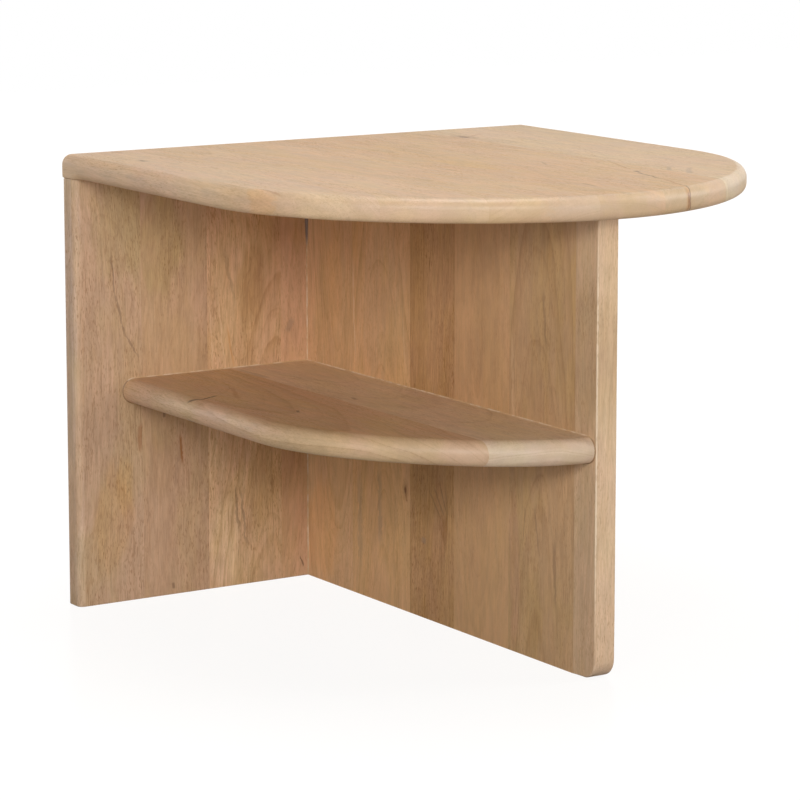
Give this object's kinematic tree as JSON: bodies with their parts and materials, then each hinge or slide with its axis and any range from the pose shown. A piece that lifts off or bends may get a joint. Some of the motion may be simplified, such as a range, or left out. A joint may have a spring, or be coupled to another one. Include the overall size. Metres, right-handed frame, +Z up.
{
  "type": "side table",
  "caption": "Solid wood side table: a D-shaped top on a full-width back panel and a centre panel that form a T, with a curved bullnose shelf in the left bay.",
  "frame": {"origin": "on the floor, below the middle of the table's bounding box", "axes": "+Z up; +Y towards the flat back edge; -Y towards the curved front; +X to the right seen from the curved front, so the shelf is on the -X side"},
  "size_m": [0.615, 0.625, 0.5],
  "materials": {
    "top_wood": "pale warm beige hardwood, clear matt-satin lacquer, grain running front to back, small brown knots, a fine crack near the right front edge",
    "panel_wood": "the same hardwood with upright grain, boards that differ in tone from reddish brown to olive brown, clear matt-satin lacquer",
    "shelf_wood": "the same hardwood, grain front to back, worn paler along the bullnose, clear matt-satin lacquer",
    "dowel_wood": "plain pale beech, unfinished, straight flutes"
  },
  "bodies": {
    "root": {"top_board_1": "top_wood", "top_board_2": "top_wood", "top_board_3": "top_wood", "top_board_4": "top_wood", "top_board_5": "top_wood", "top_board_6": "top_wood", "top_board_7": "top_wood", "back_panel_board_1": "panel_wood", "back_panel_board_2": "panel_wood", "back_panel_board_3": "panel_wood", "back_panel_board_4": "panel_wood", "back_panel_board_5": "panel_wood", "back_panel_board_6": "panel_wood", "back_panel_board_7": "panel_wood", "centre_panel_board_1": "panel_wood", "centre_panel_board_2": "panel_wood", "centre_panel_board_3": "panel_wood", "centre_panel_board_4": "panel_wood", "centre_panel_board_5": "panel_wood", "centre_panel_board_6": "panel_wood", "shelf_board_1": "shelf_wood", "shelf_board_2": "shelf_wood", "top_dowel_back_1": "dowel_wood", "top_dowel_back_2": "dowel_wood", "top_dowel_back_3": "dowel_wood", "top_dowel_back_4": "dowel_wood", "top_dowel_centre_1": "dowel_wood", "top_dowel_centre_2": "dowel_wood", "top_dowel_centre_3": "dowel_wood", "corner_dowel_1": "dowel_wood", "corner_dowel_2": "dowel_wood", "corner_dowel_3": "dowel_wood", "corner_dowel_4": "dowel_wood", "shelf_dowel_back_1": "dowel_wood", "shelf_dowel_back_2": "dowel_wood", "shelf_dowel_back_3": "dowel_wood", "shelf_dowel_centre_1": "dowel_wood", "shelf_dowel_centre_2": "dowel_wood", "shelf_dowel_centre_3": "dowel_wood", "shelf_dowel_centre_4": "dowel_wood"}
  },
  "joints": []
}
